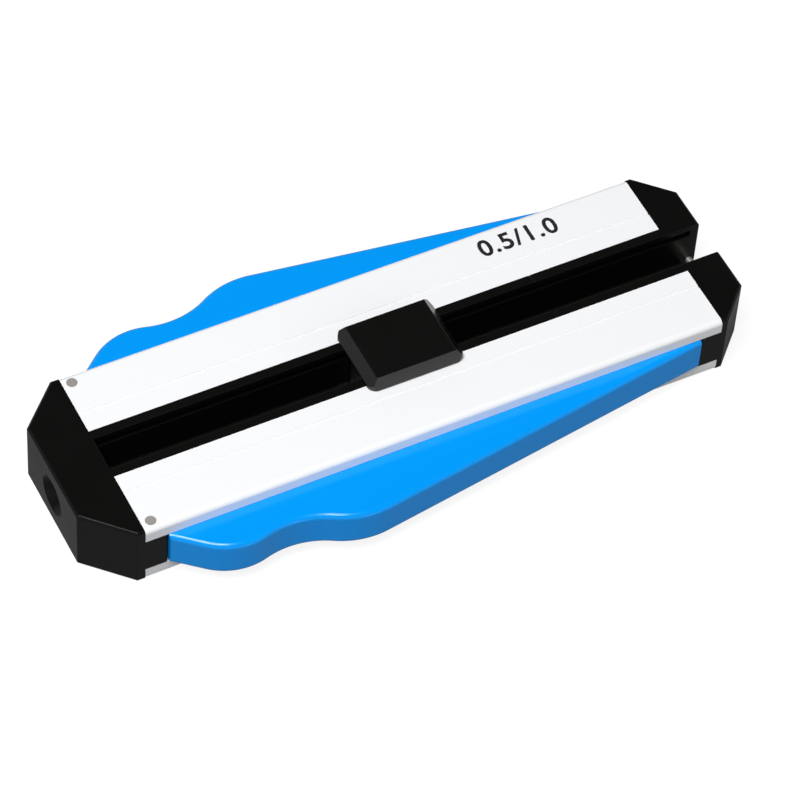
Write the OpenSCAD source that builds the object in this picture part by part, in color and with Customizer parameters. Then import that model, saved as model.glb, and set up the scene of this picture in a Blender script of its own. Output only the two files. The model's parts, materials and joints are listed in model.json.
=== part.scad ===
// Pocket fibre stripper.  Two sprung squeeze levers close a pair of notched
// blades behind the nose, and a thumb slider sets the length to be stripped.
// X runs from the nose (-) to the tail (+), +Y is the right-hand side of a
// tool held nose forward, Z is up.  Sizes are in millimetres.

/* [Body] */
// Length from the nose face to the tail face
body_l = 100; // [98:0.5:110]
// Width across the covers
body_w = 28.5; // [28:0.25:31]
// Height from the underside to the top of the covers
body_h = 10.4; // [10:0.1:12]
// Length of the nose block
nose_l = 7.2; // [7:0.1:8.5]
// 45 degree chamfer on each side of the nose
nose_chamfer = 6.05; // [4.5:0.05:6.4]
// Length of the two tail lugs
tail_l = 5.7; // [5:0.1:7]
// 45 degree chamfer on each side of the tail
tail_chamfer = 4.85; // [3:0.05:4.9]
// Small chamfer that breaks the edges of the frame
edge_break = 0.3; // [0.1:0.05:0.4]

/* [Channel] */
// Width of the slot along the top
slot_w = 5.6; // [5.2:0.1:6]
// Width of the black lip beside the slot
lip_w = 1.35; // [1.2:0.05:1.6]
// Thickness of the channel wall below the cover
wall_t = 2.65; // [2.4:0.05:2.9]
// Thickness of the channel floor
floor_t = 0.75; // [0.5:0.05:1]
// Length of the notch cut right through the tail
notch_l = 2; // [1.8:0.1:2.4]
// Height of the slider groove
groove_h = 1.2; // [0.9:0.05:1.4]
// Depth of the slider groove into each wall
groove_d = 0.7; // [0.5:0.05:0.8]
// Wall left between the end of the groove and the tail face
groove_stop = 1.35; // [1.2:0.05:1.4]
// Thickness of the lip above the groove
lip_t = 0.9; // [0.7:0.05:1.1]
// Distance between two graduations on the floor
mark_pitch = 10; // [8:0.5:12]
// Width of a graduation
mark_w = 0.4; // [0.3:0.05:0.6]
// Distance from the tail face to the last graduation
mark_from_tail = 11.4; // [10:0.1:13]
// Least distance from the nose block to a graduation
mark_clear = 2; // [1:0.1:4]
// Distance from the tail face to the reading notch in the lips
read_from_tail = 26.2; // [24:0.1:30]

/* [Covers] */
// Thickness of the top covers
cover_t = 2.25; // [2:0.05:2.5]
// Thickness of the bottom cover
base_t = 2.15; // [2:0.05:2.5]
// Radius of the outer long edges
cover_r = 0.8; // [0.3:0.05:1.2]
// Distance from the lip to the trim groove along a top cover
trim_in = 2.85; // [2:0.05:4]
// Width of the trim groove
trim_w = 0.5; // [0.3:0.05:0.8]
// Depth of the trim groove
trim_d = 0.1; // [0.05:0.05:0.2]

/* [Levers] */
// Angle that a lever turns when it is squeezed right in
squeeze = 1.75; // [1.5:0.05:1.8]
// How far the front bulge stands out from the covers
front_bulge = 5.75; // [5:0.05:6.5]
// Radius of the front bulge
front_r = 9; // [8:0.25:10]
// Distance from the nose block to the crest of the front bulge
front_crest = 12.9; // [12:0.1:14]
// How far the rear bulge stands out from the covers
rear_bulge = 8.05; // [7:0.05:9]
// Radius of the rear bulge
rear_r = 12; // [10:0.25:14]
// Distance between the crests of the two bulges
crest_gap = 17.6; // [16:0.1:19]
// Radius of the hollow between the bulges
hollow_r = 12; // [9:0.25:15]
// How far the lever's nose end stands out from the covers
nose_proud = 0.5; // [0.2:0.05:1]
// How far the lever's tail end stands out from the covers
tail_proud = 0.35; // [0.1:0.05:0.8]
// Radius of the lever's long outer edges
lever_r = 0.8; // [0.3:0.05:1.2]
// Width of the arm that carries the blade
arm_w = 2.8; // [2.6:0.05:3]
// Radius of the boss round the pivot
boss_r = 3; // [2.6:0.1:3.2]
// Distance from the tail block to the pivot
pivot_in = 6.1; // [6:0.1:7]
// Distance from the cover's edge to the pivot
pivot_edge = 3.8; // [3.6:0.1:4.2]
// Radius of the pivot pin
pivot_r = 1.5; // [1.2:0.1:1.6]
// Running clearance round the pivot pin
pivot_gap = 0.03; // [0.02:0.01:0.08]

/* [Blades and guide] */
// Thickness of a blade
blade_t = 0.7; // [0.5:0.05:0.8]
// Height of a blade
blade_h = 4.4; // [4:0.1:5]
// Length of the ground bevel behind the cutting edge
bevel_l = 1.4; // [1:0.1:1.8]
// Thickness left at the cutting edge
edge_t = 0.12; // [0.08:0.02:0.2]
// Radius of the notch that closes round the fibre
notch_r = 0.3; // [0.2:0.05:0.4]
// Radius of the hole through the guide bush
bore_r = 0.6; // [0.5:0.05:0.8]
// Outer radius of the guide bush
bush_r = 2; // [1.8:0.1:2.2]
// Length of the guide bush
bush_l = 3.8; // [3.5:0.1:4]
// Length of the cone inside the guide bush
bush_cone = 1.2; // [1:0.1:1.6]
// Radius of the funnel at the nose face
mouth_r = 3; // [2.6:0.1:3.4]
// Width of the step where the funnel meets the bush
bush_step = 0.4; // [0.3:0.05:0.6]

/* [Slider] */
// Length of the thumb pad at its foot
pad_l = 14.5; // [13:0.1:16]
// Width of the thumb pad at its foot
pad_w = 11.4; // [10:0.1:13]
// Height of the thumb pad
pad_h = 1.9; // [1.8:0.05:2.6]
// Height of the upright rim round the foot of the pad
pad_rim = 0.35; // [0.2:0.05:0.6]
// How far each end of the pad slopes in
pad_end_slope = 1.25; // [0.6:0.05:1.8]
// How far each side of the pad slopes in
pad_side_slope = 0.8; // [0.4:0.05:1.4]
// Corner radius of the pad seen from above
pad_corner = 1.4; // [0.6:0.1:2]
// Centre of the pad along the body
pad_x = 1.7; // [-10:0.1:10]
// Length of the carriage in the channel
carriage_l = 12; // [11:0.1:13]
// Height of the tenon that locks the pad to the carriage
tenon_h = 1; // [0.8:0.05:1.1]
// Length of the tenon
tenon_l = 8; // [7:0.1:9]
// Width of the tenon
tenon_w = 4; // [3.6:0.1:4.4]
// Thickness of the stop plate in the carriage's front
stop_t = 0.8; // [0.6:0.05:1]
// Radius of the detent ball
ball_r = 1; // [0.8:0.05:1.1]
// Distance from the middle of the carriage to the ball, towards the nose
ball_off = 3.1; // [2.8:0.1:3.4]
// Distance from the middle of the carriage to its screw, towards the tail
screw_off = 2; // [1.6:0.1:2.4]

/* [Pins, screws and springs] */
// Radius of the dowel pins that hold the covers at the nose
dowel_r = 0.75; // [0.6:0.05:0.8]
// Distance from the nose block to the dowel pins
dowel_in = 1.4; // [1.3:0.05:1.6]
// Radius of the pin across the tail notch
stop_pin_r = 0.5; // [0.4:0.05:0.6]
// Distance from the tail face to the pin across the notch
stop_pin_in = 0.95; // [0.9:0.05:1.2]
// Depth to which the pin across the notch is held in each lug
stop_pin_hold = 2.8; // [2:0.1:3.5]
// Radius of the screws
screw_r = 0.8; // [0.7:0.05:0.9]
// Radius of a screw's head
head_r = 1.4; // [1.2:0.05:1.45]
// Height of a cheese head
head_h = 0.9; // [0.7:0.05:1]
// Distance from the tail block to the cover screws
cover_screw_in = 1.55; // [1.5:0.05:1.7]
// Distance from the middle of the body to the floor screws
floor_screw_x = 22; // [16:0.5:28]
// Length of the floor screws
floor_screw_l = 5; // [4:0.1:5.5]
// Distance from the nose block to the lever springs
spring_in = 14; // [12:0.1:18]
// Outer radius of a lever spring
spring_r = 2; // [1.8:0.1:2.2]
// Wire radius of a lever spring
spring_wire = 0.25; // [0.2:0.05:0.3]
// Turns of a lever spring
spring_turns = 6; // [4:1:8]
// Depth of the lever spring's pocket
pocket_d = 5; // [4:0.1:6]
// Wire radius of the detent spring
detent_wire = 0.15; // [0.1:0.05:0.2]
// Turns of the detent spring
detent_turns = 5; // [4:1:6]

/* [Clearances] */
// Gap round pieces that are seated in one another
seat_gap = 0.02; // [0.01:0.01:0.03]
// Gap above and below a lever
lever_gap = 0.05; // [0.03:0.01:0.1]
// Gap between a lever's ends and the frame's ears
ear_gap = 0.25; // [0.2:0.05:0.4]
// Gap between a lever's arm and the ear it comes back to
rest_gap = 0.08; // [0.05:0.01:0.1]
// Gap left inside a squeezed lever and round moving blades
swing_gap = 0.45; // [0.3:0.05:0.6]
// Gap between each blade and the middle when closed
close_gap = 0.05; // [0.03:0.01:0.1]
// Gap between the slider and the channel
slide_gap = 0.1; // [0.05:0.01:0.15]

/* [Hidden] */
$fn = 64;
cut = 1;
head_sink = 0.04;
hole_end = 0.2;
nose_x = -body_l / 2;
tail_x = body_l / 2;
cover_x0 = nose_x + nose_l;
cover_x1 = tail_x - tail_l;
half_w = body_w / 2;
half_slot = slot_w / 2;
lip_out = half_slot + lip_w;
wall_out = half_slot + wall_t;
floor_z = base_t + floor_t;
cover_z = body_h - cover_t;
fibre_z = (base_t + cover_z) / 2;
groove_top = body_h - lip_t;
groove_x0 = cover_x0 + 0.2;
groove_l = tail_x - groove_stop - groove_x0;
floor_x1 = tail_x - notch_l;
channel_root = 0.2;
gap_h = cover_z - base_t;

// Lever: the pivot, the ends, and what the squeeze needs beside the wall
pivot = [cover_x1 - pivot_in, half_w - pivot_edge];
tail_ear_l = 2.95;
nose_ear_l = 3.15;
lever_x0 = cover_x0 + nose_ear_l + ear_gap;
lever_x1 = cover_x1 - tail_ear_l - ear_gap;
lever_h = gap_h - 2 * lever_gap;
lever_z = base_t + lever_gap;
blade_back = cover_x0 - blade_t + 0.1;
blade_front = blade_back - blade_t;
arm_in = wall_out + swing_gap + (pivot.x - blade_back) * sin(squeeze);
arm_out = arm_in + arm_w;
arm_y = (arm_in + arm_out) / 2;
ear_in = arm_out + rest_gap;
dowel_y = (ear_in + half_w) / 2;
tail_ear_in = pivot.y - boss_r + 0.5;
front_c = [cover_x0 + front_crest, half_w + front_bulge - front_r];
rear_c = [front_c.x + crest_gap, half_w + rear_bulge - rear_r];
hollow_c = meet(front_c, front_r + hollow_r, rear_c, rear_r + hollow_r);
nose_corner = [lever_x0, half_w + nose_proud];
tail_corner = [lever_x1, half_w + tail_proud];
flank_top = tangent(nose_corner, front_c, front_r, -1);
taper_top = tangent(tail_corner, rear_c, rear_r, 1);
spring_x = cover_x0 + spring_in;
spring_seat = inner_y(spring_x) + pocket_d;
spring_bore_r = spring_r + 0.3;
arc_step = 3;
round_steps = 5;

// Blades: at rest each edge is back by what the squeeze brings it in
blade_mid = (blade_back + blade_front) / 2;
blade_edge = pivot.y + ((close_gap - pivot.y) + (pivot.x - blade_mid) * sin(squeeze)) / cos(squeeze);
pocket_x = blade_front - head_h - 0.3;
pocket_w = arm_out + 0.25;
bush_back = blade_front - 0.3;
bush_front = bush_back - bush_l;
funnel_r = bush_r - bush_step;

// Slider
foot_z = floor_z + 0.2;
pad_z = body_h + seat_gap + 0.03;
carriage_top = pad_z + tenon_h;
pad_top = pad_z + pad_h;
ball_x = pad_x - ball_off;
ball_bore_top = floor_z + 4.2;
slider_screw_x = pad_x + screw_off;
tenon_x = pad_x + 0.6;
stop_pin_x = tail_x - stop_pin_in;
stop_pin_z = foot_z;

// Where two circles meet, on the side away from the tool
function meet(a, ra, b, rb) =
    let (d = norm(b - a), u = (b - a) / d, s = (ra * ra - rb * rb + d * d) / (2 * d))
    a + s * u + sqrt(ra * ra - s * s) * [-u.y, u.x];

// Where a line from p touches the circle round c
function tangent(p, c, r, side) =
    let (v = p - c, a = atan2(v.y, v.x) + side * acos(r / norm(v)))
    c + r * [cos(a), sin(a)];

// The lever's inner edge, parallel to the channel wall when squeezed
function inner_y(x) = wall_out + swing_gap + (pivot.x - x) * sin(squeeze);

// Centre line and skin of a coil that runs up the Z axis
function coil_point(r, wire, h, turns, i, k, n, m) =
    let (a = 360 * turns * i / n, b = 360 * k / m, z = wire + (h - 2 * wire) * i / n)
    [(r + wire * cos(b)) * cos(a), (r + wire * cos(b)) * sin(a), z + wire * sin(b)];

module coil(r, wire, h, turns) {
    steps = 14 * turns;
    sides = 8;
    skin = [for (i = [0:steps]) for (k = [0:sides - 1])
        coil_point(r - wire, wire, h, turns, i, k, steps, sides)];
    walls = [for (i = [0:steps - 1]) for (k = [0:sides - 1])
        [i * sides + k, (i + 1) * sides + k,
            (i + 1) * sides + (k + 1) % sides, i * sides + (k + 1) % sides]];
    ends = [[for (k = [0:sides - 1]) k],
        [for (k = [0:sides - 1]) steps * sides + sides - 1 - k]];
    polyhedron(skin, concat(walls, ends), convexity = 10);
}

// A profile drawn in Y and Z, run along X
module along_x(x0, x1) {
    translate([x0, 0, 0])
        rotate([90, 0, 90])
            linear_extrude(x1 - x0)
                children();
}

// A cylinder between two heights
module rod(x, y, z0, z1, r) {
    translate([x, y, z0])
        cylinder(h = z1 - z0, r = r);
}

// A flat slab between two heights
module plate(points, z0, z1) {
    translate([0, 0, z0])
        linear_extrude(z1 - z0)
            polygon(points);
}

// Cutters that break the upper and lower edges of a plate
module break_edges(points, z0, z1) {
    side = edge_break * sqrt(2);
    for (i = [0:len(points) - 2]) {
        v = points[i + 1] - points[i];
        for (z = [z0, z1])
            translate([points[i].x, points[i].y, z])
                rotate([0, 0, atan2(v.y, v.x)])
                    rotate([45, 0, 0])
                        translate([-cut, -side / 2, -side / 2])
                            cube([norm(v) + 2 * cut, side, side]);
    }
}

module both_sides() {
    children();
    mirror([0, 1, 0])
        children();
}

// ---------------------------------------------------------------- frame

nose_outline = [
    [cover_x0, half_w], [nose_x + nose_chamfer, half_w], [nose_x, half_w - nose_chamfer],
    [nose_x, nose_chamfer - half_w], [nose_x + nose_chamfer, -half_w], [cover_x0, -half_w]];
lug_outline = [
    [cover_x1, half_w], [tail_x - tail_chamfer, half_w], [tail_x, half_w - tail_chamfer],
    [tail_x, half_slot]];

module nose_block() {
    difference() {
        plate(nose_outline, 0, body_h);
        break_edges(nose_outline, 0, body_h);
        translate([pocket_x, -pocket_w, base_t])
            cube([cover_x0 - pocket_x + cut, 2 * pocket_w, gap_h]);
        translate([nose_x - 0.01, 0, fibre_z])
            rotate([0, 90, 0])
                cylinder(h = bush_front - nose_x + 0.02, r1 = mouth_r, r2 = funnel_r);
        translate([bush_front, 0, fibre_z])
            rotate([0, 90, 0])
                cylinder(h = pocket_x - bush_front + cut, r = bush_r + seat_gap);
    }
}

module channel_half() {
    along_x(cover_x0 - channel_root, tail_x - tail_chamfer)
        difference() {
            union() {
                translate([0, base_t])
                    square([wall_out, gap_h]);
                translate([0, base_t])
                    square([lip_out, body_h - base_t]);
            }
            translate([-cut, floor_z])
                square([half_slot + cut, body_h]);
        }
    translate([spring_x, wall_out, fibre_z])
        rotate([-90, 0, 0])
            cylinder(h = 1, r = spring_r - 2 * spring_wire - 0.2);
}

module tail_lugs() {
    difference() {
        union() {
            both_sides()
                difference() {
                    plate(concat(lug_outline, [[cover_x1, half_slot]]), 0, body_h);
                    break_edges(lug_outline, 0, body_h);
                }
            translate([cover_x1, -half_slot - 0.1, 0])
                cube([floor_x1 - cover_x1, slot_w + 0.2, floor_z]);
        }
        translate([stop_pin_x, -half_slot - stop_pin_hold - hole_end, stop_pin_z])
            rotate([-90, 0, 0])
                cylinder(h = half_w + stop_pin_hold, r = stop_pin_r + seat_gap);
    }
}

module ears() {
    both_sides() {
        translate([cover_x0 - 0.1, ear_in, base_t])
            cube([nose_ear_l + 0.1, half_w - ear_in, gap_h]);
        translate([cover_x1 - tail_ear_l, tail_ear_in, base_t])
            cube([tail_ear_l + 0.1, half_w - tail_ear_in, gap_h]);
    }
}

module floor_marks() {
    last = tail_x - mark_from_tail;
    count = floor((last - cover_x0 - mark_clear) / mark_pitch);
    for (i = [0:count])
        translate([last - i * mark_pitch, 0, floor_z])
            rotate([0, 45, 0])
                cube([mark_w / sqrt(2), slot_w, mark_w / sqrt(2)], center = true);
}

module body_frame() {
    color("#17161a")
        difference() {
            union() {
                nose_block();
                both_sides()
                    channel_half();
                tail_lugs();
                ears();
            }
            translate([groove_x0, -half_slot - groove_d, groove_top - groove_h])
                cube([groove_l, slot_w + 2 * groove_d, groove_h]);
            floor_marks();
            both_sides()
                translate([tail_x - read_from_tail, (half_slot + lip_out) / 2, body_h])
                    rotate([0, 45, 0])
                        cube([mark_w / sqrt(2), lip_w + 0.1, mark_w / sqrt(2)], center = true);
            both_sides() {
                rod(cover_x0 + dowel_in, dowel_y, 0, body_h, dowel_r + seat_gap);
                rod(cover_x1 - cover_screw_in, cover_screw_y, 0, body_h, screw_r + seat_gap);
                for (side = [-1, 1])
                    rod(side * floor_screw_x, floor_screw_y, 0, floor_screw_l + hole_end, screw_r + seat_gap);
            }
        }
}

// --------------------------------------------------------------- covers

cover_screw_y = half_w - 3.2;
floor_screw_y = (half_slot + wall_out) / 2;

module rounded_edge_profile(y0, y1, z0, z1, r) {
    translate([y0, z0])
        square([y1 - y0 - r, z1 - z0]);
    translate([y0, z0])
        square([y1 - y0, z1 - z0 - r]);
    translate([y1 - r, z1 - r])
        circle(r);
}

module top_cover() {
    inner = lip_out + seat_gap;
    difference() {
        along_x(cover_x0 + seat_gap, cover_x1 - seat_gap)
            difference() {
                rounded_edge_profile(inner, half_w, cover_z, body_h, cover_r);
                translate([inner + trim_in, body_h - trim_d])
                    square([trim_w, trim_d + cut]);
            }
        rod(cover_x0 + dowel_in, dowel_y, 0, body_h + cut, dowel_r + seat_gap);
        rod(pivot.x, pivot.y, 0, cover_z + 1.3, pivot_r + seat_gap);
        rod(cover_x1 - cover_screw_in, cover_screw_y, 0, cover_z + 1.35, screw_r + seat_gap);
    }
}

// A hole for a countersunk screw whose head ends at height z
module countersink(x, y, z, top) {
    r = screw_r + seat_gap;
    rod(x, y, z - cut, top, r);
    translate([x, y, z - 0.01])
        cylinder(h = head_r - screw_r + 0.01, r1 = head_r + seat_gap + 0.01, r2 = r);
}

module top_cover_right() {
    color("#f4f5f7")
        top_cover();
}

module top_cover_left() {
    color("#f4f5f7")
        mirror([0, 1, 0])
            top_cover();
}

module bottom_cover() {
    color("#e8eaec")
        difference() {
            along_x(cover_x0 + seat_gap, cover_x1 - seat_gap)
                both_halves()
                    translate([0, base_t])
                        mirror([0, 1])
                            rounded_edge_profile(-0.01, half_w, 0, base_t, cover_r);
            both_sides() {
                rod(cover_x0 + dowel_in, dowel_y, -cut, base_t + cut, dowel_r + seat_gap);
                rod(pivot.x, pivot.y, base_t - 1.25, base_t + cut, pivot_r + seat_gap);
                countersink(cover_x1 - cover_screw_in, cover_screw_y, 0, base_t + cut);
                for (side = [-1, 1])
                    countersink(side * floor_screw_x, floor_screw_y, 0, base_t + cut);
            }
        }
}

module both_halves() {
    children();
    mirror([1, 0])
        children();
}

// --------------------------------------------------------------- levers

function direction(from, to) = atan2(to.y - from.y, to.x - from.x);

// Stations [point, outward normal] along an arc about c; a hollow's normal
// points back at its own centre
function stations(c, r, a, b, side = 1) =
    let (n = ceil(abs(b - a) / arc_step))
    [for (i = [0:n]) let (t = a + (b - a) * i / n, u = [cos(t), sin(t)]) [c + r * u, side * u]];

// The outer edge from nose to tail: a chain of lines and arcs, each tangent
// to the next, run a little past both ends
function lever_edge() =
    let (front_end = direction(front_c, hollow_c), rear_start = direction(rear_c, hollow_c),
        front = stations(front_c, front_r, direction(front_c, flank_top), front_end),
        hollow = stations(hollow_c, hollow_r, front_end - 180, rear_start - 180, -1),
        rear = stations(rear_c, rear_r, rear_start, direction(rear_c, taper_top)),
        n0 = front[0][1], n1 = rear[len(rear) - 1][1])
    concat([[nose_corner + 3 * [-n0.y, n0.x], n0]], front, hollow, rear,
        [[tail_corner - 3 * [-n1.y, n1.x], n1]]);

// One section of the lever: the inner edge, then the rounded outer edge
function lever_ring(station) =
    let (p = station[0], n = station[1], x = p.x)
    concat([[x, inner_y(x), lever_h], [x, inner_y(x), 0]],
        [for (up = [0, 1]) for (k = [0:round_steps])
            let (t = 90 * k / round_steps, in = lever_r * (1 - (up ? cos(t) : sin(t))),
                z = lever_r * (1 - (up ? sin(t) : cos(t))), q = p - in * n)
            [q.x, q.y, up ? lever_h - z : z]]);

module lever_body() {
    edge = lever_edge();
    m = 2 * round_steps + 4;
    last = len(edge) - 1;
    sides = [for (i = [0:last - 1]) for (k = [0:m - 1])
        [i * m + k, (i + 1) * m + k, (i + 1) * m + (k + 1) % m, i * m + (k + 1) % m]];
    ends = [[for (k = [0:m - 1]) k], [for (k = [0:m - 1]) last * m + m - 1 - k]];
    polyhedron([for (s = edge) each lever_ring(s)], concat(sides, ends), convexity = 10);
}

function unit(v) = v / norm(v);

lever_footprint = [
    [lever_x0, arm_out], [lever_x0, 2 * half_w], [lever_x1, 2 * half_w],
    [lever_x1, pivot.y - boss_r / 2], [pivot.x + boss_r / 2, pivot.y - boss_r],
    [pivot.x - boss_r, pivot.y - boss_r], [pivot.x - 2.5 * boss_r, 0], [lever_x0, 0]];

module lever() {
    difference() {
        translate([0, 0, lever_z])
            union() {
                intersection() {
                    lever_body();
                    plate(lever_footprint, -cut, lever_h + cut);
                }
                plate([[blade_back, arm_in], [blade_back, arm_out],
                        [lever_x0 + 0.5, arm_out], [lever_x0 + 0.5, arm_in]], 0, lever_h);
            }
        rod(pivot.x, pivot.y, 0, body_h, pivot_r + pivot_gap);
        translate([spring_x, 0, fibre_z])
            rotate([-90, 0, 0])
                cylinder(h = spring_seat, r = spring_bore_r);
        translate([blade_back - cut, arm_y, fibre_z])
            rotate([0, 90, 0])
                cylinder(h = 3.2 + cut, r = screw_r + seat_gap);
    }
}

module lever_right() {
    color("#0f86dc")
        lever();
}

module lever_left() {
    color("#0f86dc")
        mirror([0, 1, 0])
            lever();
}

// --------------------------------------------------------------- blades

module blade() {
    difference() {
        translate([0, 0, fibre_z - blade_h / 2])
            linear_extrude(blade_h)
                polygon([[blade_back, arm_out], [blade_front, arm_out],
                    [blade_front, blade_edge], [blade_front + edge_t, blade_edge],
                    [blade_back, blade_edge + bevel_l]]);
        translate([blade_front - cut, blade_edge - close_gap, fibre_z])
            rotate([0, 90, 0])
                cylinder(h = blade_t + 2 * cut, r = notch_r);
        translate([blade_front - cut, arm_y, fibre_z])
            rotate([0, 90, 0])
                cylinder(h = blade_t + 2 * cut, r = screw_r + seat_gap);
    }
}

module blade_screw() {
    difference() {
        translate([blade_front, arm_y, fibre_z])
            rotate([0, 90, 0]) {
                cylinder(h = blade_t + 3, r = screw_r);
                translate([0, 0, -head_h])
                    cylinder(h = head_h, r = head_r - 0.05);
            }
        translate([blade_front - head_h - cut, arm_y - head_r, fibre_z - 0.2])
            cube([0.45 + cut, 2 * head_r, 0.4]);
    }
}

module blade_right() {
    color("#b9bec4")
        blade();
}

module blade_left() {
    color("#b9bec4")
        mirror([0, 1, 0])
            blade();
}

module blade_screw_right() {
    color("#8e9399")
        blade_screw();
}

module blade_screw_left() {
    color("#8e9399")
        mirror([0, 1, 0])
            blade_screw();
}

module guide_bush() {
    color("#c9a24a")
        translate([bush_front, 0, fibre_z])
            rotate([0, 90, 0])
                difference() {
                    cylinder(h = bush_l, r = bush_r);
                    translate([0, 0, -cut])
                        cylinder(h = bush_l + 2 * cut, r = bore_r);
                    translate([0, 0, -0.01])
                        cylinder(h = bush_cone + 0.01, r1 = funnel_r, r2 = bore_r);
                }
}

// ------------------------------------------------- pins, screws, springs

module pivot_pins() {
    color("#9aa0a6")
        both_sides()
            rod(pivot.x, pivot.y, base_t - 1.2, cover_z + 1.25, pivot_r);
}

module cover_pins() {
    color("#989390")
        both_sides()
            rod(cover_x0 + dowel_in, dowel_y, 0.02, body_h, dowel_r);
}

// A countersunk screw, its head just below the face at height z
module countersunk_screw(x, y, z, top) {
    low = z + head_sink;
    difference() {
        union() {
            rod(x, y, low, top, screw_r);
            translate([x, y, low])
                cylinder(h = head_r - head_sink - screw_r, r1 = head_r - head_sink, r2 = screw_r);
        }
        for (turn = [0, 90])
            translate([x, y, z])
                rotate([0, 0, turn])
                    cube([1.3, 0.3, 0.8], center = true);
    }
}

module cover_screws() {
    color("#8e9399")
        both_sides()
            countersunk_screw(cover_x1 - cover_screw_in, cover_screw_y, 0, cover_z + 1.25);
}

module floor_screws() {
    color("#8e9399")
        both_sides()
            for (side = [-1, 1])
                countersunk_screw(side * floor_screw_x, floor_screw_y, 0, floor_screw_l);
}

module tail_stop_pin() {
    color("#d5d8db")
        translate([stop_pin_x, -half_slot - stop_pin_hold, stop_pin_z])
            rotate([-90, 0, 0])
                cylinder(h = slot_w + 2 * stop_pin_hold, r = stop_pin_r);
}

module lever_spring() {
    translate([spring_x, wall_out + seat_gap, fibre_z])
        rotate([-90, 0, 0])
            coil(spring_r, spring_wire, spring_seat - wall_out - 2 * seat_gap, spring_turns);
}

module spring_right() {
    color("#a9aeb3")
        lever_spring();
}

module spring_left() {
    color("#a9aeb3")
        mirror([0, 1, 0])
            lever_spring();
}

// --------------------------------------------------------------- slider

module pad_end_section() {
    polygon([[-pad_l / 2, 0], [pad_l / 2, 0], [pad_l / 2, pad_rim],
        [pad_l / 2 - pad_end_slope, pad_h], [pad_end_slope - pad_l / 2, pad_h],
        [-pad_l / 2, pad_rim]]);
}

module pad_side_section() {
    polygon([[-pad_w / 2, 0], [pad_w / 2, 0], [pad_w / 2, pad_rim],
        [pad_w / 2 - pad_side_slope, pad_h], [pad_side_slope - pad_w / 2, pad_h],
        [-pad_w / 2, pad_rim]]);
}

module pad_plan() {
    square([pad_l, pad_w - 2 * pad_corner], center = true);
    square([pad_l - 2 * pad_corner, pad_w], center = true);
    for (x = [-1, 1])
        for (y = [-1, 1])
            translate([x * (pad_l / 2 - pad_corner), y * (pad_w / 2 - pad_corner)])
                circle(pad_corner);
}

module slider_pad() {
    color("#1b1a19")
        difference() {
            translate([pad_x, 0, pad_z])
                intersection() {
                    rotate([90, 0, 0])
                        linear_extrude(2 * pad_w, center = true)
                            pad_end_section();
                    rotate([90, 0, 90])
                        linear_extrude(2 * pad_l, center = true)
                            pad_side_section();
                    linear_extrude(pad_h)
                        pad_plan();
                }
            translate([tenon_x - tenon_l / 2 - seat_gap, -tenon_w / 2 - seat_gap, pad_z - cut])
                cube([tenon_l + 2 * seat_gap, tenon_w + 2 * seat_gap, tenon_h + seat_gap + cut]);
            rod(slider_screw_x, 0, pad_z, pad_top - 0.3, screw_r + seat_gap);
        }
}

module slider_carriage() {
    half_neck = half_slot - slide_gap;
    half_flange = half_slot + groove_d - slide_gap;
    flange_z = groove_top - groove_h + slide_gap;
    front = pad_x - carriage_l / 2;
    color("#2b2b2d")
        difference() {
            union() {
                along_x(front, front + carriage_l) {
                    translate([-half_neck, foot_z])
                        square([2 * half_neck, pad_z - foot_z]);
                    translate([-half_flange, flange_z])
                        square([2 * half_flange, groove_h - 2 * slide_gap]);
                }
                translate([tenon_x - tenon_l / 2, -tenon_w / 2, pad_z - 0.1])
                    cube([tenon_l, tenon_w, tenon_h + 0.1]);
            }
            translate([front - cut, seat_gap - half_neck + 0.3, foot_z + 0.3])
                cube([stop_t + cut, 2 * (half_neck - 0.3 - seat_gap), stop_h]);
            rod(ball_x, 0, foot_z - cut, ball_bore_top, ball_r + 0.05);
            countersink(slider_screw_x, 0, foot_z, carriage_top + cut);
        }
}

stop_h = groove_top - groove_h - foot_z - 0.6;

module stop_plate() {
    half = half_slot - slide_gap - 0.3 - 2 * seat_gap;
    color("#c6cacf")
        translate([pad_x - carriage_l / 2, -half, foot_z + 0.3 + seat_gap])
            cube([stop_t - seat_gap, 2 * half, stop_h - 2 * seat_gap]);
}

module slider_screw() {
    color("#8e9399")
        countersunk_screw(slider_screw_x, 0, foot_z, pad_top - 0.4);
}

module detent_ball() {
    color("#c6cacf")
        translate([ball_x, 0, floor_z + 0.03 + ball_r])
            sphere(ball_r);
}

module detent_spring() {
    low = floor_z + 0.05 + 2 * ball_r;
    color("#a9aeb3")
        translate([ball_x, 0, low])
            coil(ball_r - 0.05, detent_wire, ball_bore_top - low - seat_gap, detent_turns);
}

body_frame();
top_cover_left();
top_cover_right();
bottom_cover();
lever_left();
lever_right();
blade_left();
blade_right();
blade_screw_left();
blade_screw_right();
guide_bush();
pivot_pins();
cover_pins();
cover_screws();
floor_screws();
tail_stop_pin();
spring_left();
spring_right();
slider_pad();
slider_carriage();
stop_plate();
slider_screw();
detent_ball();
detent_spring();
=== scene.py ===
# %% [markdown]
# A pocket fibre stripper on a white sweep.  The solid model arrives as a fixed
# frame: every piece already lies in its place, in metres.  What is left to do
# is what the eye judges: the finish of each plastic and metal, the printed
# numbers, the light and the camera.

# %% Load the frame
import json
import math

import bpy
import numpy as np
from mathutils import Matrix, Vector


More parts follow.
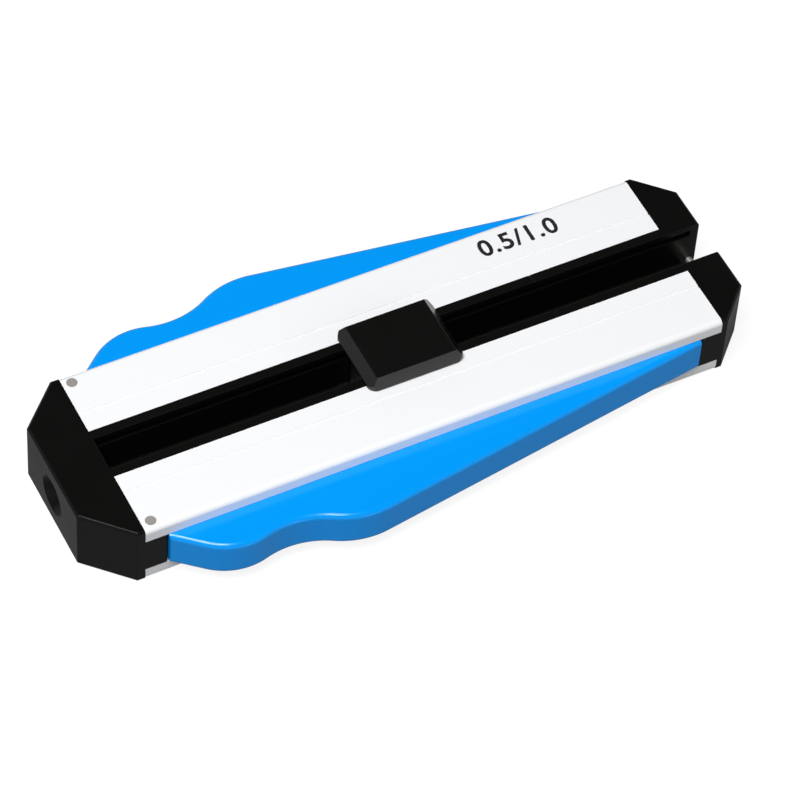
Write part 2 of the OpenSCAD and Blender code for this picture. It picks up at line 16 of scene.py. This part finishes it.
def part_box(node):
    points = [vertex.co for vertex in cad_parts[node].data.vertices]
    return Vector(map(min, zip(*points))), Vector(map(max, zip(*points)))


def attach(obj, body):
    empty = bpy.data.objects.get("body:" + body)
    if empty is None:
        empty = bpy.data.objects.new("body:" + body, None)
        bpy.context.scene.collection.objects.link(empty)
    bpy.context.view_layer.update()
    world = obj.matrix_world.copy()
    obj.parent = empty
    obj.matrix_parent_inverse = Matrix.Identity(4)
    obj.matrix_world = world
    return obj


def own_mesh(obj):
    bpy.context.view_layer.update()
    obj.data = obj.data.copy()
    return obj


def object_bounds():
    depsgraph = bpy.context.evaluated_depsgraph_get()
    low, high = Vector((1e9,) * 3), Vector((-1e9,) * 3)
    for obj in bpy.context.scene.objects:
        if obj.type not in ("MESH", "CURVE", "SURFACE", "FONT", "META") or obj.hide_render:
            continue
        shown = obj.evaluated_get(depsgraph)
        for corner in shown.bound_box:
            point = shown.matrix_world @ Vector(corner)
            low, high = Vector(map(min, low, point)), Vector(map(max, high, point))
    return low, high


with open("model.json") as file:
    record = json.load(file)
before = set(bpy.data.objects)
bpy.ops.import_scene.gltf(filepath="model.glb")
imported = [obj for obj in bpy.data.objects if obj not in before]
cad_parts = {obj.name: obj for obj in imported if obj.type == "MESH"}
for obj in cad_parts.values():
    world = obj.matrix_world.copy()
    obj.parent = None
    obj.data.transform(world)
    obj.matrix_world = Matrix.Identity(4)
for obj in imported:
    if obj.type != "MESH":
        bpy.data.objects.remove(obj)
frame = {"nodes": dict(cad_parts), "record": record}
cad_low, cad_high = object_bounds()
nodes = frame["nodes"]
MM = 0.001
print("loaded", len(nodes), "nodes, box in mm:", [round(v / MM, 1) for v in cad_high - cad_low])

# %% [markdown]
# Colours are chosen as they look on a screen, in hex, but a shader adds light
# in linear numbers.  One function turns the one into the other.  A second adds
# a node, and a third starts a material with plain values on its shader.

# %% Helpers for colours and shader nodes
def linear(code):
    """Hex colour to linear RGBA: v/12.92 where v is dark, ((v + 0.055)/1.055)^2.4 above."""
    v = np.array([int(code[i:i + 2], 16) for i in (0, 2, 4)]) / 255
    rgb = np.where(v <= 0.04045, v / 12.92, ((v + 0.055) / 1.055) ** 2.4)
    return (*rgb.tolist(), 1.0)


def add(tree, kind, links=(), inputs=None, **settings):
    """Add one node: settings are its properties, inputs its socket values by name or
    number, and links are pairs of a socket to read and the input that reads it."""
    node = tree.nodes.new(kind)
    for key, value in settings.items():
        setattr(node, key, value)
    for key, value in (inputs or {}).items():
        node.inputs[key].default_value = value
    for source, target in links:
        tree.links.new(source, node.inputs[target])
    return node


def start_material(name, colour, roughness, **sockets):
    """A new material whose shader has this hex colour and roughness, and any other
    sockets given by name with _ for a space; returns the material and the shader."""
    material = bpy.data.materials.new(name)
    material.use_nodes = True
    shader = material.node_tree.nodes["Principled BSDF"]
    shader.inputs["Base Color"].default_value = linear(colour)
    shader.inputs["Roughness"].default_value = roughness
    for key, value in sockets.items():
        shader.inputs[key.replace("_", " ")].default_value = value
    return material, shader


print("white cover in linear light:", [round(c, 3) for c in linear("f4f5f7")])

# %% [markdown]
# The camera looks down at about 50 degrees from the front left.  A long lens
# far away keeps the long edges almost parallel, which is how small tools are
# usually shown.  Its axes are worked out from azimuth, elevation and roll: back
# points from the tool to the eye, side is level, and the roll turns the pair
# side and up round back.

# %% Camera
AZIMUTH, ELEVATION, ROLL = (math.radians(a) for a in (-30.02, 51.37, 4.435))
EYE = Vector((-186.31, -326.48, 470.39)) * MM
LENS_MM, SENSOR_MM = 196.4, 36.0

back = Vector((math.sin(AZIMUTH) * math.cos(ELEVATION),
               -math.cos(AZIMUTH) * math.cos(ELEVATION), math.sin(ELEVATION)))
level = Vector((0, 0, 1)).cross(back).normalized()
rise = back.cross(level)
right = level * math.cos(ROLL) + rise * math.sin(ROLL)
up = rise * math.cos(ROLL) - level * math.sin(ROLL)
lens = bpy.data.cameras.new("camera")
lens.lens, lens.sensor_width = LENS_MM, SENSOR_MM
lens.clip_start, lens.clip_end = 0.05, 20.0
camera = bpy.data.objects.new("camera", lens)
axes = Matrix((right, up, back)).transposed()
camera.matrix_world = Matrix.Translation(EYE) @ axes.to_4x4()
bpy.context.scene.collection.objects.link(camera)
bpy.context.scene.camera = camera
print("the eye is", round(EYE.length, 3), "m from the tool")

# %% [markdown]
# The floor is a paper sweep.  A plain white floor would throw light up under
# the tool and fill its sides with white, so the paper is a mid grey that only
# the camera sees glow up to white.  The tool's shadow still takes its share of
# the light away from it, and mirrors see a little of the glow.

# %% Floor
bpy.context.scene.view_settings.view_transform = "Standard"
FLOOR_HALF, FLOOR_DROP = 3.0, 0.05 * MM
PAPER_GLOW, MIRRORED_GLOW = 0.88, 0.1

corners = np.array([(-1, -1), (1, -1), (1, 1), (-1, 1)]) * FLOOR_HALF
floor_mesh = bpy.data.meshes.new("floor")
floor_mesh.from_pydata([(x, y, cad_low.z - FLOOR_DROP) for x, y in corners], [], [(0, 1, 2, 3)])
floor = bpy.data.objects.new("floor", floor_mesh)
bpy.context.scene.collection.objects.link(floor)

# Matt paper: no grain shows at this distance, only its soft shadow.
paper, shader = start_material("matt_paper_sweep", "707070", 0.9,
                               Emission_Color=(PAPER_GLOW, PAPER_GLOW, PAPER_GLOW, 1.0))
tree = paper.node_tree
ray = add(tree, "ShaderNodeLightPath")
mirrored = add(tree, "ShaderNodeMath", [(ray.outputs["Is Glossy Ray"], 0)],
               {1: MIRRORED_GLOW}, operation="MULTIPLY")
glow = add(tree, "ShaderNodeMath", [(ray.outputs["Is Camera Ray"], 0), (mirrored.outputs[0], 1)],
           operation="MAXIMUM")
tree.links.new(glow.outputs[0], shader.inputs["Emission Strength"])
floor_mesh.materials.append(paper)
print("floor at", round((cad_low.z - FLOOR_DROP) / MM, 3), "mm")

# %% [markdown]
# The room is white low down and dim overhead.  A top face seen from above
# mirrors the dim part, so black plastic stays black, while bevels and the nose
# face mirror the bright band near the horizon and stand out as grey.

# %% Room
BAND_END, DIM_START = 0.28, 0.60
BAND_LIGHT, DIM_LIGHT = 0.5, 0.04
world = bpy.data.worlds.new("studio_room")
bpy.context.scene.world = world
world.use_nodes = True
tree = world.node_tree
tree.nodes.clear()
where = add(tree, "ShaderNodeTexCoord")
height = add(tree, "ShaderNodeSeparateXYZ", [(where.outputs["Generated"], 0)])
band = add(tree, "ShaderNodeMapRange", [(height.outputs["Z"], "Value")],
           {"From Min": BAND_END, "From Max": DIM_START, "To Min": BAND_LIGHT, "To Max": DIM_LIGHT},
           interpolation_type="SMOOTHSTEP")
ray = add(tree, "ShaderNodeLightPath")
room = add(tree, "ShaderNodeBackground", [(band.outputs[0], "Strength")], {"Color": (1, 1, 1, 1)})
seen = add(tree, "ShaderNodeBackground", inputs={"Color": (1, 1, 1, 1)})
mix = add(tree, "ShaderNodeMixShader",
          [(ray.outputs["Is Camera Ray"], 0), (room.outputs[0], 1), (seen.outputs[0], 2)])
add(tree, "ShaderNodeOutputWorld", [(mix.outputs[0], "Surface")])
print("room nodes:", len(tree.nodes))

# %% [markdown]
# Three soft boxes finish the light.  The large one overhead gives the level, a
# low one in front greys the thumb pad's near bevel, and a narrow strip at the
# right draws the thin white streak along the round edges of the blue levers.

# %% Lamps
def soft_box(name, place, width, height, watts):
    """A rectangular area lamp at place, in metres, that faces the tool."""
    lamp = bpy.data.lights.new(name, "AREA")
    lamp.shape, lamp.size, lamp.size_y, lamp.energy = "RECTANGLE", width, height, watts
    box = bpy.data.objects.new(name, lamp)
    box.location = place
    box.rotation_mode = "QUATERNION"
    box.rotation_quaternion = Vector(place).to_track_quat("Z", "Y")
    bpy.context.scene.collection.objects.link(box)


soft_box("top_box", (-0.30, -0.16, 0.84), 0.45, 0.45, 8.6)
soft_box("front_box", (0.28, -0.86, 0.05), 0.55, 0.20, 0.6)
soft_box("right_strip", (0.72, -0.50, 0.20), 0.42, 0.05, 0.7)

# %% [markdown]
# Moulded plastic is never quite even.  The mould was spark eroded or polished,
# which leaves a fine grain, and the gloss wanders a little over a few
# millimetres where the melt flowed.  One function gives both, at a real size,
# and rounds the normals at sharp edges, because no moulded edge is a knife.  The
# metals and the ink use it too, each with a grain of its own.

# %% Fine surface
FLOW_MM = 6.0


def fine_surface(material, shader, grain_mm, relief_mm, gloss=None, round_mm=None):
    """Bump from noise with one grain per grain_mm and relief_mm high.  gloss = (low,
    high) lets the roughness wander between the two over FLOW_MM; round_mm rounds edges."""
    tree = material.node_tree
    at = add(tree, "ShaderNodeTexCoord")
    fine = add(tree, "ShaderNodeTexNoise", [(at.outputs["Object"], "Vector")],
               {"Scale": 1 / (grain_mm * MM), "Detail": 3.0})
    bump = add(tree, "ShaderNodeBump", [(fine.outputs["Fac"], "Height")],
               {"Strength": 0.35, "Distance": relief_mm * MM})
    if round_mm:
        edge = add(tree, "ShaderNodeBevel", inputs={"Radius": round_mm * MM}, samples=6)
        tree.links.new(edge.outputs[0], bump.inputs["Normal"])
    tree.links.new(bump.outputs[0], shader.inputs["Normal"])
    if gloss:
        slow = add(tree, "ShaderNodeTexNoise", [(at.outputs["Object"], "Vector")],
                   {"Scale": 1 / (FLOW_MM * MM)})
        level = add(tree, "ShaderNodeMapRange", [(slow.outputs["Fac"], "Value")],
                    {"To Min": gloss[0], "To Max": gloss[1]})
        tree.links.new(level.outputs[0], shader.inputs["Roughness"])
    return bump


print("noise scale of a 0.15 mm grain:", round(1 / (0.15 * MM)), "per metre")

# %% [markdown]
# The frame is glass filled nylon, black right through, moulded in a lightly
# eroded tool.  To the eye: nearly no colour, a soft weak mirror, edges that
# catch a thin grey line.

# %% Black nylon of the frame
black_nylon, shader = start_material("black_glass_filled_nylon", "090908", 0.3,
                                     IOR=1.5, Specular_IOR_Level=0.22)
fine_surface(black_nylon, shader, 0.15, 0.006, gloss=(0.26, 0.36), round_mm=0.18)
print(black_nylon.name)

# %% [markdown]
# The covers are extruded white ABS: bright, slightly cool and satin.  Drawing
# the strip through its die leaves faint lines along its length, so a second
# noise is stretched along X.  The lines are 0.25 mm apart, because finer ones
# would not show at this distance.

# %% White covers
white_abs, shader = start_material("white_extruded_abs", "f4f5f7", 0.34, IOR=1.5)
bump = fine_surface(white_abs, shader, 0.3, 0.008, gloss=(0.30, 0.40))
DIE_LINE_MM, DIE_RUN_MM = 0.25, 30.0
tree = white_abs.node_tree
at = add(tree, "ShaderNodeTexCoord")
run = add(tree, "ShaderNodeMapping", [(at.outputs["Object"], "Vector")],
          {"Scale": (1 / (DIE_RUN_MM * MM), 1 / (DIE_LINE_MM * MM), 1 / (DIE_LINE_MM * MM))})
lines = add(tree, "ShaderNodeTexNoise", [(run.outputs[0], "Vector")], {"Scale": 1.0, "Detail": 1.0})
drawn = add(tree, "ShaderNodeBump", [(lines.outputs["Fac"], "Height"), (bump.outputs[0], "Normal")],
            {"Strength": 0.25, "Distance": 0.006 * MM})
tree.links.new(drawn.outputs[0], shader.inputs["Normal"])
print(white_abs.name)

# %% [markdown]
# The levers are what the hand holds: blue ABS from a polished mould.  The
# colour is full and even, and the gloss is high enough for a lamp to leave a
# sharp streak on the rounded edge.

# %% Blue levers
blue_abs, shader = start_material("blue_polished_abs", "0099f6", 0.16, IOR=1.53, Specular_IOR_Level=0.35)
fine_surface(blue_abs, shader, 0.5, 0.002, gloss=(0.13, 0.20))
print(blue_abs.name)

# %% [markdown]
# The thumb pad is a harder, finer black than the frame, and its edges are worn
# round by thumbs.  The carriage below it is acetal, waxy and dark grey, which
# slides without grease.

# %% Thumb pad and carriage
pad_abs, shader = start_material("black_satin_abs", "0a0908", 0.24, IOR=1.5)
fine_surface(pad_abs, shader, 0.12, 0.005, gloss=(0.22, 0.30), round_mm=0.2)
dark_acetal, shader = start_material("dark_waxy_acetal", "161617", 0.35, IOR=1.48)
fine_surface(dark_acetal, shader, 0.3, 0.01, gloss=(0.32, 0.40))
print(pad_abs.name, dark_acetal.name)

# %% [markdown]
# Metals show by what they mirror, so each keeps the default IOR, is fully
# metallic and differs by its tint, its roughness and the size of its grain: the
# ground blades are fine and fairly bright, the sawn dowel ends rough and dull,
# the plated screws cloudy, and the drawn wire smooth.  All of it is plain noise:
# the turned bush has no rings, because it sits deep in the nose.

# %% Steel and brass
blade_steel, shader = start_material("ground_blade_steel", "b8bcc1", 0.28, Metallic=1.0)
fine_surface(blade_steel, shader, 0.08, 0.008, gloss=(0.24, 0.34))
pin_steel, shader = start_material("sawn_dowel_steel", "c8c3bf", 0.6, Metallic=1.0)
fine_surface(pin_steel, shader, 0.1, 0.02, gloss=(0.55, 0.65))
screw_steel, shader = start_material("zinc_plated_steel", "9fa3a8", 0.4, Metallic=1.0)
fine_surface(screw_steel, shader, 0.2, 0.01, gloss=(0.35, 0.48))
spring_steel, shader = start_material("drawn_spring_wire", "a4a8ad", 0.3, Metallic=1.0)
fine_surface(spring_steel, shader, 0.1, 0.004, gloss=(0.25, 0.35))
bush_brass, shader = start_material("turned_brass", "c9a35a", 0.3, Metallic=1.0)
fine_surface(bush_brass, shader, 0.1, 0.006, gloss=(0.24, 0.36))
print("metals:", [m.name for m in (blade_steel, pin_steel, screw_steel, spring_steel, bush_brass)])

# %% Put the finishes on
FINISH = {
    "black_plastic": black_nylon, "white_plastic": white_abs, "blue_plastic": blue_abs,
    "slider_plastic": pad_abs, "carriage_plastic": dark_acetal, "blade_steel": blade_steel,
    "pin_steel": pin_steel, "screw_steel": screw_steel, "spring_steel": spring_steel,
    "bush_brass": bush_brass}
for part in frame["record"]["subparts"]:
    mesh = nodes[part["node"]].data
    mesh.materials.clear()
    mesh.materials.append(FINISH[part["material_slot"]])

# %% [markdown]
# A stripper is marked with the sizes that it cuts.  The print is plain numbers,
# pad printed in dark ink on the far cover: a film so thin that it has colour but
# no edge.  Text is drawn by Blender, turned into a mesh, and its points are
# then moved to their place, so that the object itself stays at the origin.

# %% Printed numbers
NUMBERS, CAP_MM, FILM_MM = "0.5/1.0", 3.0, 0.012
START_MM, OFF_MIDDLE_MM = 19.5, 1.85
SPACING, THICKEN = 1.1, 0.022
cover_low, cover_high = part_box("top_cover_right")
letters = bpy.data.curves.new("numbers", "FONT")
letters.body, letters.size, letters.space_character = NUMBERS, 1.0, SPACING
letters.offset = THICKEN
sketch = bpy.data.objects.new("sketch", letters)
bpy.context.scene.collection.objects.link(sketch)
bpy.context.view_layer.update()
flat = bpy.data.meshes.new_from_object(sketch.evaluated_get(bpy.context.evaluated_depsgraph_get()))
bpy.data.objects.remove(sketch)

points = np.empty(len(flat.vertices) * 3)
flat.vertices.foreach_get("co", points)
points = points.reshape(-1, 3)
points -= points.min(0)
points *= CAP_MM * MM / points[:, 1].max()
centre_y = (cover_low.y + cover_high.y) / 2 + OFF_MIDDLE_MM * MM
points += (START_MM * MM, centre_y - CAP_MM * MM / 2, cover_high.z + FILM_MM * MM)
flat.vertices.foreach_set("co", points.ravel())
flat.update()
numbers = bpy.data.objects.new("printed_numbers", flat)
bpy.context.scene.collection.objects.link(numbers)

# Pad printing ink: matt, very dark blue black, a little uneven.
ink, shader = start_material("pad_printed_ink", "15151c", 0.55, IOR=1.5)
fine_surface(ink, shader, 0.1, 0.003, gloss=(0.5, 0.62))
flat.materials.clear()
flat.materials.append(ink)
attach(numbers, "housing")
span = (points.max(0) - points.min(0)) / MM
print("numbers span", span[:2].round(2), "mm, normal z", round(flat.polygons[0].normal.z, 2))

# %% [markdown]
# A lever spring stands between the channel wall and the bottom of its pocket in
# the lever.  When the lever closes, the coil gets shorter towards the wall.  Here
# each spring only gets a mesh of its own.

# %% Springs get meshes of their own
for hand, side in (("left", -1), ("right", 1)):
    spring = nodes["spring_" + hand]
    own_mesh(spring)
